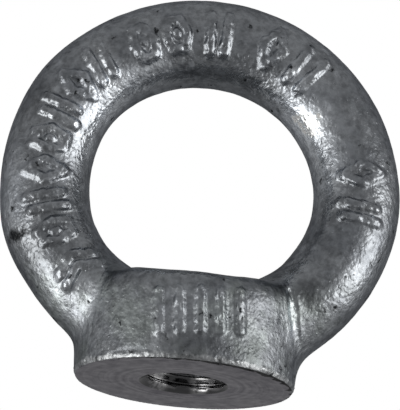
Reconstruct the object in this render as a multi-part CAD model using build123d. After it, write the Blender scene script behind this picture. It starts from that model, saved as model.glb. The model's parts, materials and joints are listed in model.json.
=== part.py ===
from build123d import *

import os
from math import asin, cos, degrees, pi, radians, sin, tan

# Lifting eye nut, M10: a forged ring on a round boss with a through thread, all one piece.
# The ring stands in the XZ plane on top of the boss, and the flat seat of the boss is at z = 0.
# Units are millimetres.

# Ring: the eye is a little wider than it is tall, as the forging spreads in its die
CENTRE_HEIGHT = 22.6         # seat to the centre of the eye
EYE_WIDTH = 25.7             # across the eye
EYE_HEIGHT = 24.6            # top to bottom of the eye
RING_WIDTH = 45.4            # across the outside of the ring
CROWN_DEPTH = 10.15          # radial depth of the section at the crown
CROWN_THICKNESS = 10.0       # front to back at the crown
ROOT_THICKNESS = 11.9        # front to back where the legs run into the boss

# Boss
BOSS_DIAMETER = 25.0
BOSS_EDGE_RADIUS = 2.4       # round top edge
SADDLE_WIDTH = 5.6           # flat of the boss top that closes the bottom of the eye
SEAT_BREAK = 0.2             # small chamfer round the machined seat

# Blends from the legs into the boss: the die leaves one leg fuller than the other
LEFT_BLEND = 2.7
RIGHT_BLEND = 4.6

# Thread
THREAD_DIAMETER = 10.0
THREAD_PITCH = 1.5
SEAT_COUNTERSINK = 10.1      # mouth of the countersink in the seat
TOP_COUNTERSINK = 10.6       # mouth of the countersink under the eye
COUNTERSINK_ANGLE = 90.0     # included angle of both

# The ring's loft
SECTION_COUNT = 19
END_SHARE = 0.7              # the loft stops inside the boss, at this share of the saddle's half angle

# Sizes that follow
crown_radius = EYE_HEIGHT / 2 + CROWN_DEPTH
boss_radius = BOSS_DIAMETER / 2
saddle_angle = degrees(asin(SADDLE_WIDTH / EYE_HEIGHT))
boss_height = CENTRE_HEIGHT - EYE_HEIGHT / 2 * cos(radians(saddle_angle))
root_angle = 180 - saddle_angle * END_SHARE
core_radius = (THREAD_DIAMETER - THREAD_PITCH) / 2


def swing(at_crown: float, at_side: float, angle: float) -> float:
    """A radius that goes from its value at the crown to its value at the side, as an oval's does."""
    return (at_crown + at_side) / 2 + (at_crown - at_side) / 2 * cos(2 * radians(angle))


def thickness(angle: float) -> float:
    """Front to back thickness of the ring, which grows smoothly from the crown to the roots."""
    share = abs(angle) / root_angle
    return CROWN_THICKNESS + (ROOT_THICKNESS - CROWN_THICKNESS) * (1 - cos(pi * share)) / 2


def ring_section(angle: float) -> Sketch:
    """The oval cross-section of the ring at an angle from the crown."""
    inner = swing(EYE_HEIGHT / 2, EYE_WIDTH / 2, angle)
    outer = swing(crown_radius, RING_WIDTH / 2, angle)
    outward = Vector(sin(radians(angle)), 0, cos(radians(angle)))
    along = Vector(cos(radians(angle)), 0, -sin(radians(angle)))
    middle = Vector(0, 0, CENTRE_HEIGHT) + outward * ((outer + inner) / 2)
    oval = Ellipse((outer - inner) / 2, thickness(angle) / 2)
    return Plane(middle, x_dir=outward, z_dir=along) * oval


def make_ring() -> Part:
    """The ring, from one root over the crown to the other, with both ends inside the boss."""
    step = 2 * root_angle / (SECTION_COUNT - 1)
    ring = loft([ring_section(-root_angle + i * step) for i in range(SECTION_COUNT)])
    return split(ring, Plane.XY, keep=Keep.TOP)


def make_boss() -> Part:
    """The round boss, with a rounded top edge and a broken edge round the seat."""
    shoulder = boss_height - BOSS_EDGE_RADIUS
    top_radius = boss_radius - BOSS_EDGE_RADIUS
    outline = Polyline((top_radius, boss_height), (0, boss_height), (0, 0), (boss_radius - SEAT_BREAK, 0),
                       (boss_radius, SEAT_BREAK), (boss_radius, shoulder))
    outline += RadiusArc((boss_radius, shoulder), (top_radius, boss_height), -BOSS_EDGE_RADIUS)
    return revolve(Plane.XZ * make_face(outline), Axis.Z)


def blend(body: Part, junction: ShapeList[Edge], radius: float) -> Part:
    """The body with the seam of one leg rounded into the boss."""
    places = [edge.center() for edge in junction]
    seam = [edge for edge in body.edges() if any((edge.center() - place).length < 1e-4 for place in places)]
    return fillet(seam, radius)


def countersink(mouth: float) -> Part:
    """A conical cutter that stands on its mouth at z = 0."""
    depth = mouth / 2 / tan(radians(COUNTERSINK_ANGLE / 2))
    return Cone(mouth / 2, 0, depth, align=(Align.CENTER, Align.CENTER, Align.MIN))


def make_bore() -> Part:
    """The tapped hole at its core diameter, with a countersink at each end.

    The upper tool comes down through the eye, so it also clears the blends that lean over the hole.
    """
    upright = (Align.CENTER, Align.CENTER, Align.MIN)
    bore = Cylinder(core_radius, CENTRE_HEIGHT, align=upright)
    tool = Cylinder(TOP_COUNTERSINK / 2, CENTRE_HEIGHT - boss_height, align=upright)
    top = Pos(0, 0, boss_height) * (tool + Rot(180, 0, 0) * countersink(TOP_COUNTERSINK))
    return bore + countersink(SEAT_COUNTERSINK) + top


def make_eye_nut() -> Part:
    """Ring and boss in one, blended where the legs meet the boss, and bored through."""
    ring = make_ring()
    boss = make_boss()
    body = boss + ring
    junction = new_edges(boss, ring, combined=body)
    body = blend(body, junction.filter_by(lambda edge: edge.center().X < 0), LEFT_BLEND)
    body = blend(body, junction.filter_by(lambda edge: edge.center().X > 0), RIGHT_BLEND)
    return body - make_bore()


if __name__ == "__main__":
    os.makedirs("parts", exist_ok=True)
    eye_nut = make_eye_nut()
    eye_nut.label = "eye_nut"
    export_step(eye_nut, "parts/eye_nut.step")
    size = eye_nut.bounding_box().size
    print(f"eye_nut: {size.X:.1f} x {size.Y:.1f} x {size.Z:.1f} mm, {eye_nut.volume:.0f} mm3")
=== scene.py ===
"""Looks of the M10 lifting eye nut: drop forged in one piece, hot-dip galvanised, then tapped and faced.

Sizes in the classes are millimetres and degrees. Meshes are made in metres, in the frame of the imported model.
"""

import json
import logging
import math
from dataclasses import dataclass
from enum import Enum
from typing import Any

import bmesh
import bpy
from mathutils import Matrix, Quaternion, Vector


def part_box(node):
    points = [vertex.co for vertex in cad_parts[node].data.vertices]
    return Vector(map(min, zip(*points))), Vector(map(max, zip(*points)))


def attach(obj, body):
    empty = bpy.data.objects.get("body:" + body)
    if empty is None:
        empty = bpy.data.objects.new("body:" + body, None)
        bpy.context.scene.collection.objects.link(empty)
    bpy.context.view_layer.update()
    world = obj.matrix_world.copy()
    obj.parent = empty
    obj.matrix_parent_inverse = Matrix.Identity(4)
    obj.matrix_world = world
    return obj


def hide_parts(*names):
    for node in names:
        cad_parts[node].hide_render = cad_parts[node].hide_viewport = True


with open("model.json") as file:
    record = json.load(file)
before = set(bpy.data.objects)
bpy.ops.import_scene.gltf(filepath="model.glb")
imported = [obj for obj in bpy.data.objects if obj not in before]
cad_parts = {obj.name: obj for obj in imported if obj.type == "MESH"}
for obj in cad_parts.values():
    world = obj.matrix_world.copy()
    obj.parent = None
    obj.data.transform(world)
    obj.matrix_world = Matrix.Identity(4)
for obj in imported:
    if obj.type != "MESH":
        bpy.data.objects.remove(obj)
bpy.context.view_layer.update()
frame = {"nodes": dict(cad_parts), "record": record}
NODE = "eye_nut"
BODY = "root"
MM = 0.001
TRIANGLE_LIMIT = 196_000
MATH = "ShaderNodeMath"
VECTOR = "ShaderNodeVectorMath"
MAP_RANGE = "ShaderNodeMapRange"
MIX = "ShaderNodeMix"
NOISE = "ShaderNodeTexNoise"
SET_POSITION = "GeometryNodeSetPosition"
FROM = ("From Min", "From Max")
TO = ("To Min", "To Max")
SMOOTH = {"interpolation_type": "SMOOTHSTEP"}
# The lengths and the noises of the zinc's skin, named as in EyeNut; each noise with its detail
SKIN_LENGTHS = ("seat_margin", "lump_height", "pebble_height", "flash_height", "flash_width", "lip_middle",
                "lip_half", "lip_height")
SKIN_NOISES = {"lump": 1.0, "pebble": 2.0, "lip": 2.0}

Span = tuple[float, float]
Triple = tuple[float, float, float]
Tree = bpy.types.NodeTree
Node = bpy.types.Node
Socket = bpy.types.NodeSocket
Piece = bpy.types.Object
Form = bmesh.types.BMesh

log = logging.getLogger("eye_nut")


def linear(code: str) -> tuple[float, float, float, float]:
    """Turns an sRGB hex colour into the linear colour that a shader takes.

    Args:
        code: Six hex digits, with or without a leading hash.

    Returns:
        Red, green, blue and an alpha of 1, in linear light.
    """
    digits = code.lstrip("#")
    levels = [int(digits[i:i + 2], 16) / 255 for i in (0, 2, 4)]
    light = [v / 12.92 if v <= 0.04045 else ((v + 0.055) / 1.055) ** 2.4 for v in levels]
    return (*light, 1.0)


def metres(sizes: tuple[float, ...]) -> tuple[float, ...]:
    """The same sizes, from millimetres."""
    return tuple(size * MM for size in sizes)


def per_metre(size: float) -> float:
    """The scale of a texture whose features are this many millimetres across."""
    return 1 / (size * MM)


def outward(azimuth: float, elevation: float) -> Vector:
    """The way out from the nut at two angles in degrees, with azimuth 0 in front and 90 to the right."""
    around, up = math.radians(azimuth), math.radians(elevation)
    return Vector((math.sin(around) * math.cos(up), -math.cos(around) * math.cos(up), math.sin(up)))


def add_node(tree: Tree, kind: str, inputs: dict[Any, Any] | None = None, **settings: Any) -> Node:
    """Adds a node, with its settings, and links or sets its inputs.

    Args:
        tree: The node tree that the node goes into.
        kind: Blender's name of the node's type.
        inputs: What each input gets, by its index or name: a value, a socket, or a node, which stands for its
            first output that is in use. A pair of names takes a pair of these.
        **settings: The node's own properties.

    Returns:
        The new node.
    """
    node = tree.nodes.new(kind)
    for name, value in settings.items():
        setattr(node, name, value)
    pairs = [pair for key, value in (inputs or {}).items()
             for pair in (zip(key, value) if isinstance(key, tuple) else [(key, value)])]
    for key, value in pairs:
        if isinstance(value, Node):
            value = next(socket for socket in value.outputs if socket.enabled)
        if isinstance(value, Socket):
            tree.links.new(value, node.inputs[key])
        else:
            node.inputs[key].default_value = value
    return node


def new_geometry_tree(name: str, numbers: tuple[str, ...],
                      others: dict[str, str]) -> tuple[Tree, Any, Node, Node]:
    """Starts a Geometry Nodes tree that takes a geometry and a material, and gives a geometry.

    Args:
        name: The tree's name.
        numbers: The names of the inputs that are plain numbers.
        others: The type of each further input, by its name.

    Returns:
        The tree, the sockets of its inputs, and where each point lies and faces.
    """
    tree = bpy.data.node_groups.new(name, "GeometryNodeTree")
    kinds = {"Geometry": "NodeSocketGeometry", "Material": "NodeSocketMaterial",
             **dict.fromkeys(numbers, "NodeSocketFloat"), **others}
    for label, kind in kinds.items():
        tree.interface.new_socket(label, in_out="INPUT", socket_type=kind)
    tree.interface.new_socket("Geometry", in_out="OUTPUT", socket_type="NodeSocketGeometry")
    position, normal = [add_node(tree, f"GeometryNodeInput{kind}") for kind in ("Position", "Normal")]
    return tree, add_node(tree, "NodeGroupInput").outputs, position, normal


def close_tree(tree: Tree, geometry: Node, material: Socket) -> None:
    """Ends a Geometry Nodes tree with real meshes that carry their material.

    Args:
        tree: The tree to end.
        geometry: The node that gives the finished form.
        material: The input that holds the material.
    """
    real = add_node(tree, "GeometryNodeRealizeInstances", {0: geometry})
    dressed = add_node(tree, "GeometryNodeSetMaterial", {0: real, "Material": material})
    add_node(tree, "NodeGroupOutput", {0: dressed})


def bake(piece: Piece) -> None:
    """Turns a piece with its modifiers into a plain mesh.

    Args:
        piece: The object, which keeps the new mesh.
    """
    graph = bpy.context.evaluated_depsgraph_get()
    mesh = bpy.data.meshes.new_from_object(piece.evaluated_get(graph))
    piece.modifiers.clear()
    piece.data = mesh


def run_tree(piece: Piece, tree: Tree, values: dict[str, Any]) -> None:
    """Runs a Geometry Nodes tree on a piece and keeps the result as its mesh.

    Args:
        piece: The object whose mesh goes in.
        tree: The tree to run.
        values: The value of each named input.
    """
    modifier = piece.modifiers.new(tree.name, "NODES")
    modifier.node_group = tree
    for item in tree.interface.items_tree:
        if item.item_type == "SOCKET" and item.in_out == "INPUT" and item.name in values:
            modifier[item.identifier] = values[item.name]
    bake(piece)


def new_piece(name: str, form: Form) -> Piece:
    """Puts a form into the scene as an object at the origin.

    Args:
        name: The name of the object and of its mesh.
        form: The faces or edges, in metres, which are freed.

    Returns:
        The new object.
    """
    mesh = bpy.data.meshes.new(name)
    form.to_mesh(mesh)
    form.free()
    piece = bpy.data.objects.new(name, mesh)
    bpy.context.scene.collection.objects.link(piece)
    return piece


def add_stroke(drawing: Form, points: list[Any]) -> None:
    """Adds a stroke to a drawing, as a chain of edges.

    Args:
        drawing: The edges so far.
        points: The corners of the stroke, in metres.
    """
    corners = [drawing.verts.new(point) for point in points]
    for a, b in zip(corners, corners[1:]):
        drawing.edges.new((a, b))


@dataclass(frozen=True)
class NutSizes:
    """The sizes that the looks share with the solid, in millimetres."""

    centre_height: float
    top: float
    core_radius: float
    ring_section: float = 10.15
    boss_height: float = 10.62
    thread_radius: float = 5.0
    thread_pitch: float = 1.5
    seat_mouth: float = 10.1
    top_mouth: float = 10.6

    @classmethod
    def from_frame(cls) -> "NutSizes":
        """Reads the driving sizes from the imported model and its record.

        Returns:
            The sizes, with the rest at their usual values.
        """
        mounts = {mount["name"]: mount for mount in frame["record"]["mounts"]}
        return cls(
            centre_height=mounts["eye"]["pos_m"][2] / MM,
            top=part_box(NODE)[1].z / MM,
            core_radius=mounts["thread"]["dims"]["r_mm"],
        )

    @property
    def ring_radius(self) -> float:
        """From the centre of the eye to the middle of the ring's section."""
        return self.top - self.centre_height - self.ring_section / 2


@dataclass(frozen=True)
class Patch:
    """A place where the coat's colour is multiplied, for painted highlight, painted shade or a stain: its
    middle, its reach each way, and its share of the tone.
    """

    place: Triple
    reach: Triple
    gain: float


@dataclass(frozen=True)
class Finish:
    """The finish of a metal surface. Each kind of finish gives its own looks."""

    name: str = "metal"

    def looks(self, tree: Tree, place: Socket) -> dict[str, Any]:
        """Builds what the finish gives the shader.

        Args:
            tree: The shader's tree.
            place: The coordinates of the piece.

        Returns:
            A value, socket or node for each of the shader's inputs, by its name.
        """
        raise NotImplementedError

    def material(self) -> bpy.types.Material:
        """Builds the material.

        Returns:
            A metal with the looks of this finish.
        """
        material = bpy.data.materials.new(self.name)
        material.use_nodes = True
        tree = material.node_tree
        tree.nodes.clear()
        place = add_node(tree, "ShaderNodeTexCoord").outputs["Object"]
        shader = add_node(tree, "ShaderNodeBsdfPrincipled", {"Metallic": 1.0, **self.looks(tree, place)})
        add_node(tree, "ShaderNodeOutputMaterial", {"Surface": shader})
        return material


@dataclass(frozen=True)
class CoatPatterns:
    """What the zinc's looks share: the tree, the coordinates, and the patterns on them.

    The bend is 0.5 on the flat, more on a ridge and less in a hollow.
    """

    tree: Tree
    place: Socket
    clouds: Node
    dullness: Node
    freckles: Node
    blots: Node
    drifted: Node
    height: Socket
    bend: Socket


@dataclass(frozen=True)
class HotDipZinc(Finish):
    """Hot-dip galvanised zinc: a thick metal coat that froze on the forging.

    It gives the eye a bright mirror broken into leathery cells, freckled with grey and greenish zinc, with the
    dross colour in blots and specks and as painted shade in the hollows, painted highlight on the ridges,
    painted highlight and shade where the lamps' light falls, one dark blotch, and a paler lip round the faced
    seat, which partly paints the highlight along its edge, with dark notches that paint the shadow under it.
    A span is where a noise, or the bend of the form, starts and ends a change. The grain is drawn coarser than
    real, so that it shows.
    """

    name: str = "hot_dip_zinc"
    bright: str = "#B6BABF"
    dull: str = "#94989E"
    green: str = "#A3A9AA"
    # The dross colour also paints the shade in the hollows.
    dross_and_shade: str = "#3C3E40"
    # The lip's paler colour partly paints the highlight along the seat's edge.
    lip: str = "#CACDD0"
    grazing: str = "#BABCC0"
    cloud_size: float = 5.0
    cloud_span: Span = (0.36, 0.64)
    green_span: Span = (0.44, 0.62)
    green_fade: float = 5.0
    roughness: Span = (0.23, 0.35)
    slow_roughness: float = 0.38
    slow_height: float = 8.5
    slow_wander: float = 3.0
    slow_span: Span = (2.5, 0.5)
    freckle_size: float = 0.9
    freckle_span: Span = (0.35, 0.6)
    freckle_dark: float = 0.6
    dross_size: float = 2.4
    dross_span: Span = (0.6, 0.74)
    dross_share: float = 0.6
    # Hollows get the dross colour as painted shade.
    hollow_shade_span: Span = (0.49, 0.4)
    hollow_shade_share: float = 0.22
    # Ridges get a painted highlight: their colour is lifted by the gain.
    ridge_highlight_span: Span = (0.51, 0.56)
    ridge_highlight_gain: float = 1.3
    worn_span: Span = (0.52, 0.58)
    worn_roughness: float = 0.36
    worn_bump: float = 0.4
    lip_span: Span = (-0.25, -0.55)
    lip_wander: float = -1.8
    # Where dark notches paint the shadow under the lip.
    notch_shadow_span: Span = (0.5, 0.66)
    speck_size: float = 1.2
    speck_radius: float = 0.3
    speck_share: float = 0.13
    cell_size: float = 0.42
    cell_depth: float = 0.038
    cell_smoothness: float = 0.35
    cell_warp: float = 0.5
    ripple_size: float = 1.0
    ripple_depth: float = 0.12
    pimple_size: float = 0.6
    pimple_radius: float = 0.28
    pimple_depth: float = 0.035
    pimple_share: float = 0.45
    grain_size: float = 0.16
    grain_depth: float = 0.010
    patch_drift: float = 2.0
    patch_core: float = 0.3
    # Painted highlight where the gain is above 1 and painted shade where it is below, set where the lamps'
    # light falls; the last is a dark blotch, a stain.
    light_and_stain_patches: tuple[Patch, ...] = (
        Patch((-14.2, -3.5, 27.5), (5, 6, 6), 1.45),
        Patch((-12, -3.5, 31.8), (5.2, 6, 5), 1.75),
        Patch((-7.2, -4, 34.4), (4.6, 6, 4.4), 1.65),
        Patch((2, -4, 37.8), (13, 6, 4), 1.15),
        Patch((10.3, -3.5, 33), (5.3, 6, 5.2), 1.75),
        Patch((13.3, -3.5, 27.6), (5, 6, 7.2), 1.7),
        Patch((9.8, -4, 30), (2.8, 6, 5.2), 1.5),
        Patch((-13, -4, 21.5), (2.4, 7, 6), 0.85),
        Patch((-16.4, -4, 22.2), (2.8, 6, 3.8), 1.4),
        Patch((-21.6, -3, 19.8), (2.8, 6, 6.5), 1.55),
        Patch((-18.1, -4, 13.4), (3.5, 6, 3.5), 0.82),
        Patch((-13.6, -5, 7.7), (5.6, 6, 5), 1.6),
        Patch((18.3, -3, 17), (4.5, 6, 6), 1.3),
        Patch((17.3, -4, 12.3), (4, 6, 4.5), 1.25),
        Patch((-3, -10, 4.5), (11, 9, 5.5), 1.2),
        Patch((1.5, -12, 6.4), (6, 4, 3.5), 1.2),
        Patch((11, -6, 7), (1.8, 4, 3.8), 1.9),
        Patch((0.2, -12.3, 1.6), (5, 4, 2.2), 0.7),
        Patch((6.8, -11, 1.2), (5, 5, 2.8), 0.75),
        Patch((-10, -9, 1.2), (5, 6, 2.5), 0.85),
        Patch((8.6, 0.5, 14.8), (4, 5.5, 3.4), 0.45),
        Patch((11.6, 0.5, 17.8), (3, 4.5, 4), 0.65),
        Patch((8.6, -2.5, 13.6), (3.2, 4, 3.4), 0.65),
        Patch((12.6, -5.5, 10.3), (2.2, 4, 2.8), 0.55),
        Patch((5, -3, 44), (7, 6, 2.2), 0.8),
        Patch((-19.4, -2, 30.2), (3.4, 6, 4.4), 0.8),
        Patch((-20.4, -3, 14.4), (1.6, 4, 0.9), 0.1),
    )

    def looks(self, tree: Tree, place: Socket) -> dict[str, Any]:
        """Builds the zinc's tone, its gloss and its skin."""
        clouds, freckles, blots = [add_node(tree, NOISE, {
            "Vector": place, "Scale": per_metre(size), "Detail": detail, "Roughness": rough})
            for size, detail, rough in (
                (self.cloud_size, 5.0, 0.6), (self.freckle_size, 4.0, 0.65), (self.dross_size, 6.0, 0.7))]
        drifted = add_node(tree, VECTOR, {
            0: freckles.outputs["Color"], 1: (self.patch_drift * MM,) * 3, 2: place},
            operation="MULTIPLY_ADD")
        height = add_node(tree, "ShaderNodeSeparateXYZ", {0: place}).outputs["Z"]
        bend = add_node(tree, "ShaderNodeNewGeometry").outputs["Pointiness"]
        dullness = add_node(tree, MAP_RANGE, {"Value": clouds, FROM: self.cloud_span})
        seen = CoatPatterns(tree, place, clouds, dullness, freckles, blots, drifted, height, bend)
        lit = add_node(tree, VECTOR, {0: self.zinc(seen), "Scale": self.brightness(seen)}, operation="SCALE")
        tone = add_node(tree, MIX, {
            "Factor": self.stains_and_hollow_shade(seen), "A": lit, "B": linear(self.dross_and_shade)}, data_type="RGBA")
        return {
            "Base Color": tone,
            "Specular Tint": linear(self.grazing),
            "Roughness": self.gloss(seen),
            "Normal": self.skin(seen),
        }

    def zinc(self, seen: CoatPatterns) -> Node:
        """Mixes bright, dull and greenish zinc, with a paler lip at the seat that partly paints the highlight
        along its edge, and dark notches on it that paint the shadow under it.

        Args:
            seen: The patterns.

        Returns:
            The colour of the bare coat.
        """
        tree = seen.tree
        grey = add_node(tree, MIX, {
            "Factor": seen.dullness, "A": linear(self.bright), "B": linear(self.dull)}, data_type="RGBA")
        tints = add_node(tree, "ShaderNodeSeparateColor", {0: seen.clouds.outputs["Color"]})
        low = add_node(tree, MAP_RANGE, {
            "Value": seen.height, FROM: metres((self.slow_height + self.green_fade, self.slow_height))})
        tint = add_node(tree, MAP_RANGE, {
            "Value": tints.outputs["Green"], FROM: self.green_span, "To Max": low})
        tinted = add_node(tree, MIX, {"Factor": tint, "A": grey, "B": linear(self.green)}, data_type="RGBA")
        ragged = add_node(tree, MATH, {
            0: seen.freckles, 1: self.lip_wander * MM, 2: seen.height}, operation="MULTIPLY_ADD")
        # A paler lip round the seat, partly painted highlight, with dark notches of painted shadow.
        rim = add_node(tree, MAP_RANGE, {"Value": ragged, FROM: metres(self.lip_span)})
        notch = add_node(tree, MAP_RANGE, {"Value": seen.blots, FROM: self.notch_shadow_span})
        lip = add_node(tree, MIX, {
            "Factor": notch, "A": linear(self.lip), "B": linear(self.dross_and_shade)}, data_type="RGBA")
        return add_node(tree, MIX, {"Factor": rim, "A": tinted, "B": lip}, data_type="RGBA")

    def brightness(self, seen: CoatPatterns) -> Node:
        """Dims the coat in its freckles, paints highlight onto ridges, and multiplies in each patch's painted
        highlight, painted shade or stain.

        Args:
            seen: The patterns.

        Returns:
            What the coat's colour is multiplied by.
        """
        tree = seen.tree
        freckle = add_node(tree, MAP_RANGE, {
            "Value": seen.freckles, FROM: self.freckle_span, "To Min": self.freckle_dark})
        # Painted highlight: ridges are lifted brighter.
        ridge = add_node(tree, MAP_RANGE, {
            "Value": seen.bend, FROM: self.ridge_highlight_span, TO: (1, self.ridge_highlight_gain)})
        gain = add_node(tree, MATH, {0: freckle, 1: ridge}, operation="MULTIPLY")
        # Each patch multiplies in painted highlight or painted shade, and the last a dark stain.
        for patch in self.light_and_stain_patches:
            middle = tuple((v + self.patch_drift / 2) * MM for v in patch.place)
            apart = add_node(tree, VECTOR, {0: seen.drifted, 1: middle}, operation="SUBTRACT")
            near = add_node(tree, VECTOR, {0: apart, 1: metres(patch.reach)}, operation="DIVIDE")
            far = add_node(tree, VECTOR, {0: near}, operation="LENGTH")
            local = add_node(tree, MAP_RANGE, {
                "Value": far, FROM: (1, self.patch_core), TO: (1, patch.gain)}, **SMOOTH)
            gain = add_node(tree, MATH, {0: gain, 1: local}, operation="MULTIPLY")
        return gain

    def stains_and_hollow_shade(self, seen: CoatPatterns) -> Node:
        """Puts the dross colour in blots and a few round specks, and in the hollows as painted shade.

        Args:
            seen: The patterns.

        Returns:
            The share of the dross colour: stains, and painted shade in the hollows.
        """
        tree = seen.tree
        blot = add_node(tree, MAP_RANGE, {
            "Value": seen.blots, FROM: self.dross_span, "To Max": self.dross_share})
        # Painted shade: the hollows darken towards the dross colour.
        hollow = add_node(tree, MAP_RANGE, {
            "Value": seen.bend, FROM: self.hollow_shade_span, "To Max": self.hollow_shade_share})
        dots = add_node(tree, "ShaderNodeTexVoronoi", {
            "Vector": seen.drifted, "Scale": per_metre(self.speck_size)})
        chance = add_node(tree, "ShaderNodeSeparateColor", {0: dots.outputs["Color"]})
        chosen = add_node(tree, MATH, {0: chance, 1: self.speck_share}, operation="LESS_THAN")
        speck = add_node(tree, MAP_RANGE, {
            "Value": dots, FROM: (self.speck_radius, self.speck_radius / 2), "To Max": chosen})
        stain = add_node(tree, MATH, {0: blot, 1: hollow}, operation="MAXIMUM")
        return add_node(tree, MATH, {0: stain, 1: speck}, operation="MAXIMUM")

    def gloss(self, seen: CoatPatterns) -> Node:
        """Roughens the dull zinc, the boss, which froze slowly, and the worn ridges.

        Args:
            seen: The patterns.

        Returns:
            The roughness.
        """
        tree = seen.tree
        gloss = add_node(tree, MAP_RANGE, {"Value": seen.dullness, TO: self.roughness})
        edge = add_node(tree, MATH, {
            0: seen.freckles, 1: self.slow_wander * MM, 2: seen.height}, operation="MULTIPLY_ADD")
        slow = add_node(tree, MAP_RANGE, {
            "Value": edge, FROM: metres(tuple(self.slow_height + fade for fade in self.slow_span))})
        matt = add_node(tree, MIX, {"Factor": slow, "A": gloss, "B": self.slow_roughness})
        return add_node(tree, MAP_RANGE, {
            "Value": seen.bend, FROM: self.worn_span, TO: (matt, self.worn_roughness)})

    def skin(self, seen: CoatPatterns) -> Node:
        """Stacks the fine grain, the frozen cells, the pimples and the ripples, all calmer on worn ridges.

        Args:
            seen: The patterns.

        Returns:
            The normal.
        """
        tree = seen.tree
        ripples = add_node(tree, NOISE, {
            "Vector": seen.place, "Scale": per_metre(self.ripple_size), "Detail": 2.0})
        warped = add_node(tree, VECTOR, {
            0: ripples.outputs["Color"], 1: (self.cell_warp * MM,) * 3, 2: seen.place},
            operation="MULTIPLY_ADD")
        grain = add_node(tree, NOISE, {
            "Vector": seen.place, "Scale": per_metre(self.grain_size), "Detail": 1.0})
        cells = add_node(tree, "ShaderNodeTexVoronoi", {
            "Vector": warped, "Scale": per_metre(self.cell_size), "Smoothness": self.cell_smoothness},
            feature="SMOOTH_F1")
        pimples = add_node(tree, "ShaderNodeTexVoronoi", {
            "Vector": warped, "Scale": per_metre(self.pimple_size)})
        chance = add_node(tree, "ShaderNodeSeparateColor", {0: pimples.outputs["Color"]})
        chosen = add_node(tree, MATH, {0: chance, 1: self.pimple_share}, operation="LESS_THAN")
        dome = add_node(tree, MAP_RANGE, {
            "Value": pimples, FROM: (self.pimple_radius, 0), "To Max": chosen}, **SMOOTH)
        calm = add_node(tree, MAP_RANGE, {"Value": seen.bend, FROM: self.worn_span, TO: (1, self.worn_bump)})
        normal = add_node(tree, "ShaderNodeBump", {
            "Strength": calm, "Distance": self.grain_depth * MM, "Height": grain})
        for height, depth, sunk in ((cells, self.cell_depth, True), (dome, self.pimple_depth, False)):
            normal = add_node(tree, "ShaderNodeBump", {
                "Strength": calm, "Distance": depth * MM, "Height": height, "Normal": normal}, invert=sunk)
        return add_node(tree, "ShaderNodeBump", {
            "Distance": self.ripple_depth * MM, "Height": ripples, "Normal": normal})


@dataclass(frozen=True)
class MachinedSeat(Finish):
    """The faced seat: plain steel, turned flat after galvanising.

    It gives the eye an even grey with faint rings and smudges, and a dark, ragged band round the edge, wider
    to the front and right: painted shadow in the gap where the zinc broke away under the tool. The rings of
    the tool are drawn coarser than real, so that they show.
    """

    name: str = "faced_steel"
    colour: str = "#BBB9BF"
    smudge: str = "#908E96"
    # The dark edge colour is painted shadow under the zinc lip.
    burr_shadow: str = "#242426"
    roughness: float = 0.45
    ring_size: float = 0.5
    ring_share: float = 0.4
    smudge_size: float = 1.6
    smudge_span: Span = (0.55, 0.85)
    burr_shadow_size: float = 1.3
    burr_shadow_wander: float = 3.0
    burr_shadow_radius: float = 14.0
    burr_shadow_fade: float = 0.2
    burr_shadow_lean: Triple = (0.045, -0.085, 0.0)

    def looks(self, tree: Tree, place: Socket) -> dict[str, Any]:
        """Builds the seat's tone and gives it one roughness."""
        level = add_node(tree, VECTOR, {0: place, 1: (1, 1, 0)}, operation="MULTIPLY")
        radius = add_node(tree, VECTOR, {0: level}, operation="LENGTH")
        rings = add_node(tree, NOISE, {
            "W": radius, "Scale": per_metre(self.ring_size), "Detail": 3.0}, noise_dimensions="1D")
        smudges, ragged_edge_noise = [add_node(tree, NOISE, {
            "Vector": place, "Scale": per_metre(size), "Detail": detail, "Roughness": 0.65})
            for size, detail in ((self.smudge_size, 5.0), (self.burr_shadow_size, 4.0))]
        both = add_node(tree, MATH, {0: rings, 1: self.ring_share, 2: smudges}, operation="MULTIPLY_ADD")
        share = add_node(tree, MAP_RANGE, {"Value": both, FROM: self.smudge_span})
        tone = add_node(tree, MIX, {
            "Factor": share, "A": linear(self.colour), "B": linear(self.smudge)}, data_type="RGBA")
        # Painted shadow: a ragged dark band round the seat's edge, wider to the front and right.
        lean = add_node(tree, VECTOR, {0: place, 1: self.burr_shadow_lean}, operation="DOT_PRODUCT")
        leant = add_node(tree, MATH, {0: radius, 1: lean}, operation="ADD")
        reach = add_node(tree, MATH, {
            0: ragged_edge_noise, 1: self.burr_shadow_wander * MM, 2: leant}, operation="MULTIPLY_ADD")
        edge = add_node(tree, MAP_RANGE, {
            "Value": reach, FROM: metres((self.burr_shadow_radius, self.burr_shadow_radius + self.burr_shadow_fade))})
        edge_shadowed = add_node(tree, MIX, {"Factor": edge, "A": tone, "B": linear(self.burr_shadow)}, data_type="RGBA")
        return {"Base Color": edge_shadowed, "Roughness": self.roughness}


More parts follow.
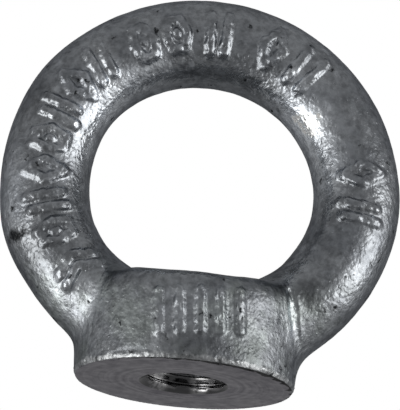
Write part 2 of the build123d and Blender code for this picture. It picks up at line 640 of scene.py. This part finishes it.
@dataclass(frozen=True)
class TappedSteel(Finish):
    """The cut thread: bare steel with black cutting oil in it.

    It gives the eye a dark hole with a few sharp glints: the oil darkens the thread, and two upright bands of
    bright steel are painted highlight, set where the lamps' glints fall.
    """

    name: str = "tapped_steel"
    steel: str = "#CBCBCD"
    oil: str = "#727274"
    roughness: float = 0.24
    oil_size: float = 0.8
    oil_span: Span = (0.64, 0.5)
    # The middles across the hole of the two bands of bright steel, painted where the glints fall, and where
    # they fade.
    glint_bands: Span = (-2.6, 2.1)
    glint_band_span: Span = (1.3, 0.2)

    def looks(self, tree: Tree, place: Socket) -> dict[str, Any]:
        """Builds the thread's tone and gives it one roughness."""
        film = add_node(tree, NOISE, {"Vector": place, "Scale": per_metre(self.oil_size), "Detail": 3.0})
        across = add_node(tree, "ShaderNodeSeparateXYZ", {0: place})
        # Painted highlight: bright steel shows only in the two bands where the lamps' glints fall.
        bands = []
        for x in self.glint_bands:
            apart = add_node(tree, MATH, {0: across, 1: x * MM}, operation="SUBTRACT")
            away = add_node(tree, MATH, {0: apart}, operation="ABSOLUTE")
            bands.append(add_node(tree, MAP_RANGE, {"Value": away, FROM: metres(self.glint_band_span)}, **SMOOTH))
        either = add_node(tree, MATH, {0: bands[0], 1: bands[1]}, operation="MAXIMUM")
        share = add_node(tree, MAP_RANGE, {"Value": film, FROM: self.oil_span, "To Max": either})
        tone = add_node(tree, MIX, {
            "Factor": share, "A": linear(self.oil), "B": linear(self.steel)}, data_type="RGBA")
        return {"Base Color": tone, "Roughness": self.roughness}


class MarkShape(Enum):
    """Plain lumps of the die, each a set of strokes in a box from -0.5 to 0.5 both ways."""

    RIB = (((0, -0.5), (0, 0.5)),)
    PAIR = (((-0.3, -0.5), (-0.3, 0.4)), ((0.3, -0.4), (0.3, 0.5)))
    SLANTS = (((-0.5, -0.45), (-0.15, 0.45)), ((0.15, -0.45), (0.5, 0.45)))
    CHEVRONS = (((-0.45, -0.5), (0.0, 0.0), (-0.45, 0.5)), ((0.1, -0.5), (0.55, 0.0), (0.1, 0.5)))
    DIAMOND = (((0, -0.5), (0.45, 0), (0, 0.5), (-0.45, 0), (0, -0.5)),)
    RING_AND_STUD = (
        ((0.25, -0.4), (0.45, 0), (0.25, 0.4), (-0.25, 0.4), (-0.45, 0), (-0.25, -0.4), (0.25, -0.4)),
        ((0, -0.03), (0, 0.03)),
    )


@dataclass(frozen=True)
class MarkRow:
    """A row of raised marks, set round the ring at even steps.

    It starts at an angle from the crown, and stands so far outside the middle of the ring's section.
    """

    start: float
    step: float
    shapes: tuple[MarkShape, ...]
    outward: float = 0.0


@dataclass(frozen=True)
class RaisedMarks:
    """The raised marks of the die, drawn as strokes in the plane of the ring."""

    sizes: NutSizes
    height: float = 4.5
    width: float = 2.6
    rows: tuple[MarkRow, ...] = (
        MarkRow(-131, 10, (MarkShape.CHEVRONS,), 0.3),
        MarkRow(-116, 11.7, (MarkShape.RING_AND_STUD, MarkShape.PAIR, MarkShape.DIAMOND) * 2
                + (MarkShape.SLANTS,), 0.6),
        MarkRow(-28, 13, (MarkShape.RING_AND_STUD,) * 2),
        MarkRow(-2, 6, (MarkShape.RIB,) * 2),
        MarkRow(22, 11, (MarkShape.DIAMOND, MarkShape.RIB), 0.25),
        MarkRow(40, 10, (MarkShape.RIB,), 0.25),
        MarkRow(82, 14.5, (MarkShape.DIAMOND, MarkShape.PAIR), 0.6),
    )
    boss_ribs: int = 5
    boss_centre: Span = (0.4, 5.7)
    boss_pitch: float = 2.3
    boss_tilt: float = 5.0

    def build(self) -> Piece:
        """Draws every stroke as edges in the plane y = 0.

        Returns:
            The drawing, as an object.
        """
        drawing = bmesh.new()
        for row in self.rows:
            for i, shape in enumerate(row.shapes):
                angle = math.radians(row.start + i * row.step)
                middle = Vector((math.sin(angle), 0, math.cos(angle)))
                middle *= self.sizes.ring_radius + row.outward
                middle.z += self.sizes.centre_height
                self.draw(drawing, shape, Matrix.Translation(middle) @ Matrix.Rotation(angle, 4, "Y"))
        tilt = Matrix.Rotation(-math.radians(self.boss_tilt), 4, "Y")
        origin = Matrix.Translation((self.boss_centre[0], 0, self.boss_centre[1]))
        for i in range(self.boss_ribs):
            shift = Matrix.Translation(((i - (self.boss_ribs - 1) / 2) * self.boss_pitch, 0, 0))
            self.draw(drawing, MarkShape.RIB, origin @ tilt @ shift)
        return new_piece("mark_strokes", drawing)

    def draw(self, drawing: Form, shape: MarkShape, place: Matrix) -> None:
        """Adds one mark's strokes.

        Args:
            drawing: The edges so far.
            shape: Which mark.
            place: Where the mark's box stands, in millimetres.
        """
        for stroke in shape.value:
            add_stroke(drawing, [place @ Vector((u * self.width, 0, v * self.height)) * MM
                                 for u, v in stroke])


@dataclass(frozen=True)
class ThreadCutter:
    """The tool that leaves the tapped hole with its two countersinks. Its flats are shares of the pitch."""

    sizes: NutSizes
    sides: int = 96
    rings: int = 200
    low: float = -0.5
    high: float = 20.5
    clearance: float = 0.02
    crest_flat: float = 0.25
    root_flat: float = 0.125

    def tree(self) -> Tree:
        """Builds the tree that turns a cylinder into the tool.

        Returns:
            The tree.
        """
        tree, take, place, _ = new_geometry_tree("thread_cutter", (
            "Pitch", "Core radius", "Thread radius", "Seat mouth radius", "Top mouth radius", "Boss height",
            "Low", "High"), {})
        depth = add_node(tree, MATH, {0: take["High"], 1: take["Low"]}, operation="SUBTRACT")
        blank = add_node(tree, "GeometryNodeMeshCylinder", {
            "Vertices": self.sides, "Side Segments": self.rings, "Depth": depth}, fill_type="NGON")
        half = add_node(tree, MATH, {0: depth, 1: 0.5, 2: take["Low"]}, operation="MULTIPLY_ADD")
        lift = add_node(tree, "ShaderNodeCombineXYZ", {"Z": half})
        lifted = add_node(tree, SET_POSITION, {0: blank, "Offset": lift})
        x, y, z = add_node(tree, "ShaderNodeSeparateXYZ", {0: place}).outputs
        turn = add_node(tree, MATH, {0: y, 1: x}, operation="ARCTAN2")
        turns = add_node(tree, MATH, {0: turn, 1: math.tau}, operation="DIVIDE")
        climb = add_node(tree, MATH, {0: z, 1: take["Pitch"]}, operation="DIVIDE")
        phase = add_node(tree, MATH, {0: climb, 1: turns}, operation="SUBTRACT")
        tooth = add_node(tree, MATH, {0: phase, 1: 0.5}, operation="PINGPONG")
        groove = add_node(tree, MAP_RANGE, {
            "Value": tooth, FROM: (self.crest_flat / 2, 0.5 - self.root_flat / 2),
            TO: (take["Core radius"], take["Thread radius"])})
        mouth = take["Top mouth radius"]
        seat = add_node(tree, MATH, {0: take["Seat mouth radius"], 1: z}, operation="SUBTRACT")
        above = add_node(tree, MATH, {0: z, 1: take["Boss height"]}, operation="SUBTRACT")
        flared = add_node(tree, MATH, {0: above, 1: mouth}, operation="ADD")
        top = add_node(tree, MATH, {0: flared, 1: mouth}, operation="MINIMUM")
        cones = add_node(tree, MATH, {0: seat, 1: top}, operation="MAXIMUM")
        radius = add_node(tree, MATH, {0: cones, 1: groove}, operation="MAXIMUM")
        scale = add_node(tree, "ShaderNodeCombineXYZ", {"X": radius, "Y": radius, "Z": 1.0})
        wide = add_node(tree, VECTOR, {0: place, 1: scale}, operation="MULTIPLY")
        cut = add_node(tree, SET_POSITION, {0: lifted, "Position": wide})
        close_tree(tree, cut, take["Material"])
        return tree

    def build(self) -> Piece:
        """Makes the tool.

        Returns:
            The tool, as an object of its own.
        """
        tool = new_piece("thread_cutter", bmesh.new())
        run_tree(tool, self.tree(), {
            "Pitch": self.sizes.thread_pitch * MM,
            "Core radius": (self.sizes.core_radius + self.clearance) * MM,
            "Thread radius": self.sizes.thread_radius * MM,
            "Seat mouth radius": self.sizes.seat_mouth / 2 * MM,
            "Top mouth radius": self.sizes.top_mouth / 2 * MM,
            "Boss height": self.sizes.boss_height * MM,
            "Low": self.low * MM,
            "High": self.high * MM,
            "Material": TappedSteel().material(),
        })
        return tool


@dataclass(frozen=True)
class Swell:
    """A gentle swelling or hollow that the dies left: its middle, how far it reaches each way, its height."""

    place: Triple
    reach: Triple
    height: float


@dataclass(frozen=True)
class EyeNut:
    """The whole nut: the forging with its zinc skin, raised marks, faced seat and tapped hole.

    A span is where a noise, or the way that a face looks, starts and ends a change.
    """

    sizes: NutSizes
    voxel: float = 0.15
    plug_sides: int = 64
    soften_steps: int = 90
    stroke_width: float = 0.85
    stroke_plateau: float = 0.2
    stroke_height: float = 0.45
    stroke_wander: float = 0.35
    wander_size: float = 1.1
    wear_span: Span = (0.35, 0.65)
    wear: Span = (0.65, 1.2)
    front_span: Span = (0.3, 0.7)
    crease: tuple[Span, ...] = ((10.7, 10.2), (11.3, 7.6), (11.8, 5.4), (12.2, 4.2))
    crease_width: float = 0.75
    crease_depth: float = 0.34
    noise_span: Span = (0.5, 0.8)
    lump_height: float = 0.05
    lump_size: float = 4.5
    pebble_height: float = 0.022
    pebble_size: float = 1.1
    flash_height: float = 0.08
    flash_width: float = 0.5
    seat_margin: float = 0.8
    lip_middle: float = 0.45
    lip_half: float = 0.4
    lip_height: float = 0.14
    lip_size: float = 0.9
    lip_span: Span = (0.38, 0.66)
    seed: float = 7.0
    swells: tuple[Swell, ...] = (
        Swell((8, -7, 11), (6.5, 6.5, 4), 0.6),
        Swell((7.6, -1, 11.4), (4.5, 6, 4), 0.35),
        Swell((-7.5, -7, 11), (6, 6.5, 4), 0.5),
        Swell((-7.6, -1, 11.2), (4.5, 6, 4), 0.3),
        Swell((-12.5, 0, 23.8), (4, 6, 7), 0.25),
        Swell((-21.3, 0, 14.7), (5, 6, 8), 0.35),
        Swell((-18.2, 0, 34.6), (8, 6, 8), 0.28),
        Swell((22.6, 0, 21.7), (4, 6, 9), 0.15),
        Swell((12.8, 0, 22), (4, 6, 8), -0.18),
        Swell((11.7, 0, 27.8), (3.5, 0.6, 6), 0.16),
    )
    doubles: float = 0.0005
    seat_depth: float = 0.03
    seat_facing: float = -0.95

    def blank(self) -> Piece:
        """Makes the forging without its hole.

        Returns:
            An even mesh of small faces.
        """
        form = bmesh.new()
        form.from_mesh(frame["nodes"][NODE].data)
        bmesh.ops.remove_doubles(form, verts=form.verts, dist=self.doubles * MM)
        plug_height = self.sizes.boss_height * MM
        plug_radius = self.sizes.top_mouth / 2 * MM
        bmesh.ops.create_cone(form, cap_ends=True, segments=self.plug_sides, radius1=plug_radius,
                              radius2=plug_radius, depth=plug_height,
                              matrix=Matrix.Translation((0, 0, plug_height / 2)))
        piece = new_piece("galvanised_eye_nut", form)
        remesh = piece.modifiers.new("even_faces", "REMESH")
        remesh.mode = "VOXEL"
        remesh.voxel_size = self.voxel * MM
        remesh.use_smooth_shade = True
        bake(piece)
        return piece

    def skin_tree(self) -> Tree:
        """Builds the tree that softens the forging and lays the zinc on, with a ragged lip round the seat.

        Returns:
            The tree.
        """
        scales = tuple(f"{name}_scale" for name in SKIN_NOISES)
        tree, take, position, normal = new_geometry_tree(
            "zinc_skin", (*SKIN_LENGTHS, *scales, "seed"), {"soften_steps": "NodeSocketInt"})
        _, y, z = add_node(tree, "ShaderNodeSeparateXYZ", {0: position}).outputs
        off_seat = add_node(tree, MAP_RANGE, {"Value": z, "From Max": take["seat_margin"]}, **SMOOTH)
        smooth = add_node(tree, "GeometryNodeBlurAttribute", {
            0: position, "Iterations": take["soften_steps"], "Weight": off_seat}, data_type="FLOAT_VECTOR")
        soft = add_node(tree, SET_POSITION, {0: take["Geometry"], "Position": smooth})

        lumps, pebbles, teeth = [add_node(tree, NOISE, {
            "Vector": position, "W": take["seed"], "Scale": take[scale], "Detail": detail},
            noise_dimensions="4D") for scale, detail in zip(scales, SKIN_NOISES.values())]
        laid, pebbled = [add_node(tree, MAP_RANGE, {
            "Value": noise, FROM: self.noise_span, "To Max": take[height]}, clamp=False)
            for noise, height in ((lumps, "lump_height"), (pebbles, "pebble_height"))]
        off_centre = add_node(tree, MATH, {0: y}, operation="ABSOLUTE")
        flash = add_node(tree, MAP_RANGE, {
            "Value": off_centre, "From Max": take["flash_width"], TO: (take["flash_height"], 0)}, **SMOOTH)
        for layer in (pebbled, flash):
            laid = add_node(tree, MATH, {0: laid, 1: layer}, operation="ADD")
        kept = add_node(tree, MATH, {0: laid, 1: off_seat}, operation="MULTIPLY")
        rise = add_node(tree, VECTOR, {0: normal, "Scale": kept}, operation="SCALE")
        coated = add_node(tree, SET_POSITION, {0: soft, "Offset": rise})

        above = add_node(tree, MATH, {0: z, 1: take["lip_middle"]}, operation="SUBTRACT")
        away = add_node(tree, MATH, {0: above}, operation="ABSOLUTE")
        tooth = add_node(tree, MAP_RANGE, {"Value": teeth, FROM: self.lip_span, "To Max": take["lip_height"]})
        lip = add_node(tree, MAP_RANGE, {
            "Value": away, FROM: (take["lip_half"], 0), "To Max": tooth}, **SMOOTH)
        sideways = add_node(tree, VECTOR, {0: normal, 1: (1, 1, 0)}, operation="MULTIPLY")
        spread = add_node(tree, VECTOR, {0: sideways, "Scale": lip}, operation="SCALE")
        lipped = add_node(tree, SET_POSITION, {0: coated, "Offset": spread})
        close_tree(tree, lipped, take["Material"])
        return tree

    def relief_tree(self) -> Tree:
        """Builds the tree that raises, or sinks, the front of the nut along drawn strokes.

        Returns:
            The tree.
        """
        tree, take, position, normal = new_geometry_tree("relief", (
            "Width", "Plateau", "Height", "Wander", "Wander scale", "Seed"), {"Strokes": "NodeSocketObject"})
        wander = add_node(tree, NOISE, {
            "Vector": position, "W": take["Seed"], "Scale": take["Wander scale"]}, noise_dimensions="4D")
        centred = add_node(tree, VECTOR, {
            0: wander.outputs["Color"], 1: (0.5, 0.5, 0.5)}, operation="SUBTRACT")
        astray = add_node(tree, VECTOR, {0: centred, "Scale": take["Wander"]}, operation="SCALE")
        drifted = add_node(tree, VECTOR, {0: position, 1: astray}, operation="ADD")
        flat = add_node(tree, VECTOR, {0: drifted, 1: (1, 0, 1)}, operation="MULTIPLY")
        strokes = add_node(tree, "GeometryNodeObjectInfo", {"Object": take["Strokes"]})
        nearest = add_node(tree, "GeometryNodeProximity", {
            0: strokes.outputs["Geometry"], "Sample Position": flat}, target_element="EDGES")
        worn = add_node(tree, MAP_RANGE, {"Value": wander, FROM: self.wear_span, TO: self.wear})
        full = add_node(tree, MATH, {0: worn, 1: take["Height"]}, operation="MULTIPLY")
        raised = add_node(tree, MAP_RANGE, {
            "Value": nearest.outputs["Distance"], FROM: (take["Width"], take["Plateau"]), "To Max": full},
            **SMOOTH)
        facing = add_node(tree, VECTOR, {0: normal, 1: (0, -1, 0)}, operation="DOT_PRODUCT")
        front = add_node(tree, MAP_RANGE, {"Value": facing, FROM: self.front_span}, **SMOOTH)
        relief = add_node(tree, MATH, {0: raised, 1: front}, operation="MULTIPLY")
        forward = add_node(tree, VECTOR, {0: (0, -1, 0), "Scale": relief}, operation="SCALE")
        marked = add_node(tree, SET_POSITION, {0: take["Geometry"], "Offset": forward})
        close_tree(tree, marked, take["Material"])
        return tree

    def swell_tree(self) -> Tree:
        """Builds the tree that pushes the skin out, or in, round one place.

        Returns:
            The tree.
        """
        tree, take, position, normal = new_geometry_tree(
            "swell", ("Height",), {"Place": "NodeSocketVector", "Reach": "NodeSocketVector"})
        apart = add_node(tree, VECTOR, {0: position, 1: take["Place"]}, operation="SUBTRACT")
        share = add_node(tree, VECTOR, {0: apart, 1: take["Reach"]}, operation="DIVIDE")
        near = add_node(tree, VECTOR, {0: share}, operation="LENGTH")
        push = add_node(tree, MAP_RANGE, {"Value": near, FROM: (1, 0), "To Max": take["Height"]}, **SMOOTH)
        out = add_node(tree, VECTOR, {0: normal, "Scale": push}, operation="SCALE")
        swollen = add_node(tree, SET_POSITION, {0: take["Geometry"], "Offset": out})
        close_tree(tree, swollen, take["Material"])
        return tree

    def draw_crease(self) -> Piece:
        """Draws the forging crease as edges in the plane y = 0.

        Returns:
            The drawing, as an object.
        """
        drawing = bmesh.new()
        add_stroke(drawing, [(x * MM, 0, z * MM) for x, z in self.crease])
        return new_piece("creases", drawing)

    def cut(self, piece: Piece, tool: Piece) -> None:
        """Takes the tool out of the piece, and then out of the scene.

        Args:
            piece: The nut.
            tool: What is cut away.
        """
        boolean = piece.modifiers.new("tapped_hole", "BOOLEAN")
        boolean.operation = "DIFFERENCE"
        boolean.solver = "MANIFOLD"
        boolean.material_mode = "TRANSFER"
        boolean.object = tool
        bake(piece)
        bpy.data.objects.remove(tool)

    def thin(self, piece: Piece) -> None:
        """Brings the piece under the triangle limit, with the smallest loss of form.

        Args:
            piece: The nut.
        """
        triangles = sum(len(face.vertices) - 2 for face in piece.data.polygons)
        if triangles > TRIANGLE_LIMIT:
            decimate = piece.modifiers.new("thin", "DECIMATE")
            decimate.ratio = TRIANGLE_LIMIT / triangles
            bake(piece)

    def face_seat(self, piece: Piece) -> None:
        """Gives the flat seat its machined finish.

        Args:
            piece: The nut.
        """
        piece.data.materials.append(MachinedSeat().material())
        last = len(piece.data.materials) - 1
        for face in piece.data.polygons:
            if face.normal.z < self.seat_facing and face.center.z < self.seat_depth * MM:
                face.material_index = last

    def build(self) -> Piece:
        """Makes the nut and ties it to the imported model.

        Returns:
            The finished piece.
        """
        piece = self.blank()
        coat = HotDipZinc().material()
        swell = self.swell_tree()
        for bulge in self.swells:
            run_tree(piece, swell, {
                "Place": metres(bulge.place),
                "Reach": metres(bulge.reach),
                "Height": bulge.height * MM,
                "Material": coat,
            })
        run_tree(piece, self.skin_tree(), {
            **{name: getattr(self, name) * MM for name in SKIN_LENGTHS},
            **{f"{name}_scale": per_metre(getattr(self, f"{name}_size")) for name in SKIN_NOISES},
            "soften_steps": self.soften_steps,
            "seed": self.seed,
            "Material": coat,
        })
        relief = self.relief_tree()
        for strokes, width, height in (
                (RaisedMarks(self.sizes).build(), self.stroke_width, self.stroke_height),
                (self.draw_crease(), self.crease_width, -self.crease_depth)):
            run_tree(piece, relief, {
                "Strokes": strokes,
                "Width": width * MM,
                "Plateau": self.stroke_plateau * MM,
                "Height": height * MM,
                "Wander": self.stroke_wander * MM,
                "Wander scale": per_metre(self.wander_size),
                "Seed": self.seed,
                "Material": coat,
            })
            bpy.data.objects.remove(strokes)
        self.cut(piece, ThreadCutter(self.sizes).build())
        self.thin(piece)
        self.face_seat(piece)
        piece.data.polygons.foreach_set("use_smooth", [True] * len(piece.data.polygons))
        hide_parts(NODE)
        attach(piece, BODY)
        return piece


def stand(name: str, data: bpy.types.ID, spot: Vector, turn: Quaternion) -> Piece:
    """Puts a lamp or a camera into the scene.

    Args:
        name: The object's name.
        data: The lamp or the camera.
        spot: Where it stands, in metres.
        turn: How it is turned.

    Returns:
        The new object.
    """
    holder = bpy.data.objects.new(name, data)
    holder.location = spot
    holder.rotation_mode = "QUATERNION"
    holder.rotation_quaternion = turn
    bpy.context.scene.collection.objects.link(holder)
    return holder


@dataclass(frozen=True)
class Softbox:
    """A soft light aimed at the nut: its angles, its angular size, and how bright its face is.

    It hangs at a distance in metres, and its tone is that of a studio lamp, a trace warmer than white.
    """

    name: str
    azimuth: float
    elevation: float
    width: float
    height: float
    level: float
    distance: float = 0.6
    tone: str = "#FFFEFB"

    def build(self, target: Vector) -> None:
        """Hangs the light.

        Args:
            target: What it is aimed at, in metres.
        """
        out = outward(self.azimuth, self.elevation)
        lamp = bpy.data.lights.new(self.name, "AREA")
        lamp.shape = "RECTANGLE"
        lamp.size = 2 * self.distance * math.tan(math.radians(self.width / 2))
        lamp.size_y = 2 * self.distance * math.tan(math.radians(self.height / 2))
        lamp.energy = self.level * math.pi * lamp.size * lamp.size_y
        lamp.color = linear(self.tone)[:3]
        holder = stand(self.name, lamp, target + out * self.distance, out.to_track_quat("Z", "Y"))
        holder.visible_camera = False


@dataclass(frozen=True)
class Floor:
    """A plain pale floor under the seat, which shows only from above and keeps the nut's shadow.

    The camera hangs below the seat, so from there, and to every light and mirror ray, the floor is open. Its
    glow comes from the material, and fades to the white of the backdrop, so that no lamp has to be raised.
    """

    half_size: float = 3000.0
    drop: float = 0.05
    grey: float = 0.8
    glow: float = 0.62
    fade: Span = (40.0, 150.0)

    def material(self) -> bpy.types.Material:
        """Builds the shader of the floor.

        Returns:
            The material.
        """
        material = bpy.data.materials.new("pale_floor")
        material.use_nodes = True
        tree = material.node_tree
        tree.nodes.clear()
        matt = add_node(tree, "ShaderNodeBsdfDiffuse", {"Color": (self.grey, self.grey, self.grey, 1)})
        glow = add_node(tree, "ShaderNodeEmission", {"Strength": self.glow})
        near = add_node(tree, "ShaderNodeAddShader", {0: matt, 1: glow})
        white = add_node(tree, "ShaderNodeEmission")
        place = add_node(tree, "ShaderNodeTexCoord").outputs["Object"]
        away = add_node(tree, VECTOR, {0: place}, operation="LENGTH")
        share = add_node(tree, MAP_RANGE, {"Value": away, FROM: metres(self.fade)}, **SMOOTH)
        pale = add_node(tree, "ShaderNodeMixShader", {0: share, 1: near, 2: white})
        below = add_node(tree, "ShaderNodeNewGeometry").outputs["Backfacing"]
        seen = add_node(tree, "ShaderNodeLightPath").outputs["Is Camera Ray"]
        shown = add_node(tree, MATH, {0: seen, 1: below}, operation="SUBTRACT", use_clamp=True)
        clear = add_node(tree, "ShaderNodeBsdfTransparent")
        mixed = add_node(tree, "ShaderNodeMixShader", {0: shown, 1: clear, 2: pale})
        add_node(tree, "ShaderNodeOutputMaterial", {"Surface": mixed})
        return material

    def build(self) -> None:
        """Lays the floor just under the seat."""
        plane = bmesh.new()
        bmesh.ops.create_grid(plane, x_segments=1, y_segments=1, size=self.half_size * MM,
                              matrix=Matrix.Translation((0, 0, -self.drop * MM)))
        floor = new_piece("pale_floor", plane)
        floor.data.materials.append(self.material())


@dataclass(frozen=True)
class Studio:
    """The camera, the soft lights, the pale floor, the white background and the room in the metal.

    The room goes from its level straight below to its level straight above.
    """

    azimuth: float = -3.437
    elevation: float = -15.242
    roll: float = 4.947
    distance: float = 559.26
    look_at: Triple = (0.1334, 0.3941, 21.027)
    pivot: Triple = (0.0, 0.0, 22.5)
    lens: float = 431.74
    clip: Span = (0.01, 10.0)
    room: Span = (0.195, 0.42)
    softboxes: tuple[Softbox, ...] = (
        Softbox("left_softbox", -74, -26, 38, 34, 1.95),
        Softbox("right_softbox", 74, -3, 40, 36, 1.85),
        Softbox("left_panel", -78, -22, 92, 76, 0.2, 0.9),
        Softbox("right_panel", 74, -10, 92, 76, 0.2, 0.9),
    )

    def camera(self) -> None:
        """Places the camera a little below the nut, as one looks at it hanging from a hand."""
        spot = (Vector(self.pivot) + outward(self.azimuth, self.elevation) * self.distance) * MM
        look = (spot - Vector(self.look_at) * MM).normalized()
        roll = Matrix.Rotation(math.radians(self.roll), 3, "Z").to_quaternion()
        data = bpy.data.cameras.new("camera")
        data.lens = self.lens
        data.clip_start, data.clip_end = self.clip
        bpy.context.scene.camera = stand("camera", data, spot, look.to_track_quat("Z", "Y") @ roll)

    def world(self) -> None:
        """Makes a dim grey room in the metal, brighter above than below, and plain white behind the nut."""
        world = bpy.data.worlds.new("studio")
        bpy.context.scene.world = world
        world.use_nodes = True
        tree = world.node_tree
        tree.nodes.clear()
        direction = add_node(tree, "ShaderNodeTexCoord").outputs["Generated"]
        up = add_node(tree, "ShaderNodeSeparateXYZ", {0: direction}).outputs["Z"]
        level = add_node(tree, MAP_RANGE, {"Value": up, FROM: (-1, 1), TO: self.room})
        room = add_node(tree, "ShaderNodeBackground", {"Strength": level})
        white = add_node(tree, "ShaderNodeBackground", {"Color": (1, 1, 1, 1)})
        seen = add_node(tree, "ShaderNodeLightPath").outputs["Is Camera Ray"]
        mixed = add_node(tree, "ShaderNodeMixShader", {0: seen, 1: room, 2: white})
        add_node(tree, "ShaderNodeOutputWorld", {"Surface": mixed})

    def build(self) -> None:
        """Sets the whole studio up."""
        self.camera()
        self.world()
        Floor().build()
        for softbox in self.softboxes:
            softbox.build(Vector(self.pivot) * MM)


def main() -> None:
    """Builds the nut and the studio, and reports each piece."""
    logging.basicConfig(level=logging.INFO, format="%(name)s: %(message)s")
    bpy.context.scene.view_settings.view_transform = "Standard"
    nut = EyeNut(NutSizes.from_frame()).build()
    log.info("%s: %d faces", nut.name, len(nut.data.polygons))
    Studio().build()


if __name__ == "__main__":
    main()
